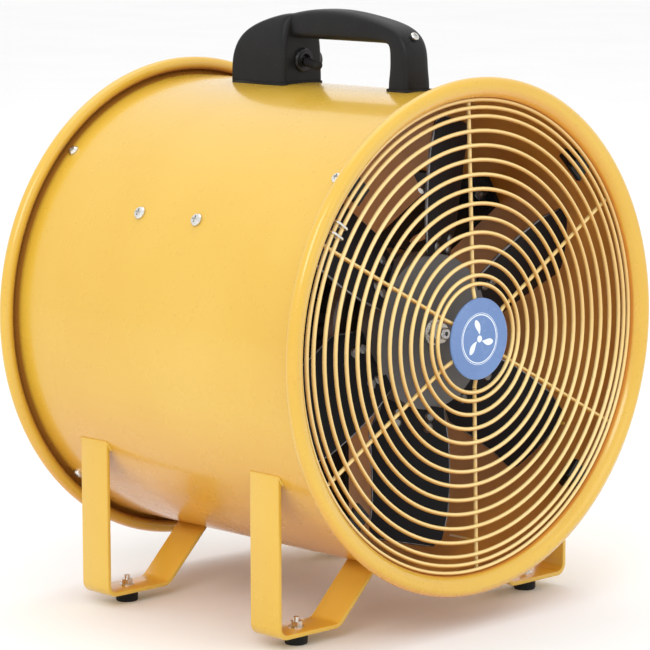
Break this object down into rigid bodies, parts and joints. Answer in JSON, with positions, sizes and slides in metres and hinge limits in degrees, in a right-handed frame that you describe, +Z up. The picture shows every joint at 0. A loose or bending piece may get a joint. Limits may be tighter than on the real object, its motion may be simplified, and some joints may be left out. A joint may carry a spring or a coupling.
{
  "type": "portable axial air mover",
  "caption": "Portable axial ventilation fan: steel duct barrel on strap legs, wire guards, inner motor and bladed impeller, carrying handle with switch box.",
  "frame": {"origin": "on the floor, under the middle of the barrel, at the height of the undersides of the rubber feet", "axes": "+Z up; the fan axis runs along Y and -Y is the outlet side with the badge; +X is to the right seen from the outlet"},
  "size_m": [0.33, 0.282, 0.3915],
  "materials": {
    "barrel_paint": "gloss yellow powder coat",
    "guard_paint": "gloss pale yellow coated wire",
    "badge_blue": "satin printed disc",
    "black_moulding": "fine textured moulding",
    "black_clip": "satin",
    "rubber": "matt",
    "zinc": "bright zinc plate",
    "dark_fitting": "satin",
    "motor_paint": "satin black enamel",
    "end_bell_cast": "as cast, lightly painted",
    "bracket_paint": "satin black enamel",
    "blade_paint": "satin black enamel",
    "hub_grey": "satin grey enamel",
    "lamination": "laminated steel",
    "copper": "varnished copper wire",
    "bright_steel": "ground",
    "beige_insulator": "moulded"
  },
  "bodies": {
    "housing": {"barrel_shell": "barrel_paint", "front_guard_rings": "guard_paint", "front_guard_spokes": "guard_paint", "front_guard_hub_plate": "guard_paint", "guard_badge": "badge_blue", "rear_guard_rings": "guard_paint", "rear_guard_spokes": "guard_paint", "rear_guard_hub_plate": "guard_paint", "front_guard_clips": "black_clip", "rear_guard_clips": "black_clip", "front_guard_screws": "zinc", "rear_guard_screws": "zinc", "guard_wire_clip": "zinc", "leg_front_left": "barrel_paint", "leg_front_right": "barrel_paint", "leg_rear_left": "barrel_paint", "leg_rear_right": "barrel_paint", "rubber_feet": "rubber", "foot_screws": "zinc", "foot_washers": "zinc", "foot_nuts": "zinc", "handle_shell": "black_moulding", "handle_gaskets": "rubber", "handle_screws": "zinc", "handle_top_screw": "zinc", "switch_body": "dark_fitting", "switch_ring_nut": "dark_fitting", "gland_body": "dark_fitting", "gland_cap_nut": "dark_fitting", "gland_lock_nut": "dark_fitting", "run_capacitor": "beige_insulator", "terminal_block": "beige_insulator", "lead_grommet": "rubber", "motor_lead": "rubber", "motor_housing": "motor_paint", "front_end_bell": "end_bell_cast", "rear_end_bell": "end_bell_cast", "end_bell_screws": "zinc", "stator_core": "lamination", "stator_windings": "copper", "front_bearing_outer": "bright_steel", "rear_bearing_outer": "bright_steel", "bearing_balls": "bright_steel", "motor_bracket_left": "bracket_paint", "motor_bracket_right": "bracket_paint", "motor_bracket_bottom": "bracket_paint", "bracket_wall_screws": "zinc", "bracket_wall_nuts": "zinc", "bracket_motor_bolts": "zinc"},
    "impeller": {"hub_plate": "hub_grey", "fan_blades": "blade_paint", "blade_rivets": "zinc", "hub_nut": "zinc", "motor_shaft": "bright_steel", "rotor": "lamination", "front_bearing_inner": "bright_steel", "rear_bearing_inner": "bright_steel"},
    "toggle": {"toggle_lever": "zinc", "toggle_cap": "rubber"}
  },
  "joints": [
    {"name": "impeller_spin", "type": "hinge", "parent": "housing", "child": "impeller", "pos_m": [0, 0, 0.1882], "axis": [0, -1, 0], "continuous": true},
    {"name": "toggle_throw", "type": "hinge", "parent": "housing", "child": "toggle", "pos_m": [0, 0.0255, 0.3564], "axis": [-1, 0, 0], "range_deg": [0, 18]}
  ]
}
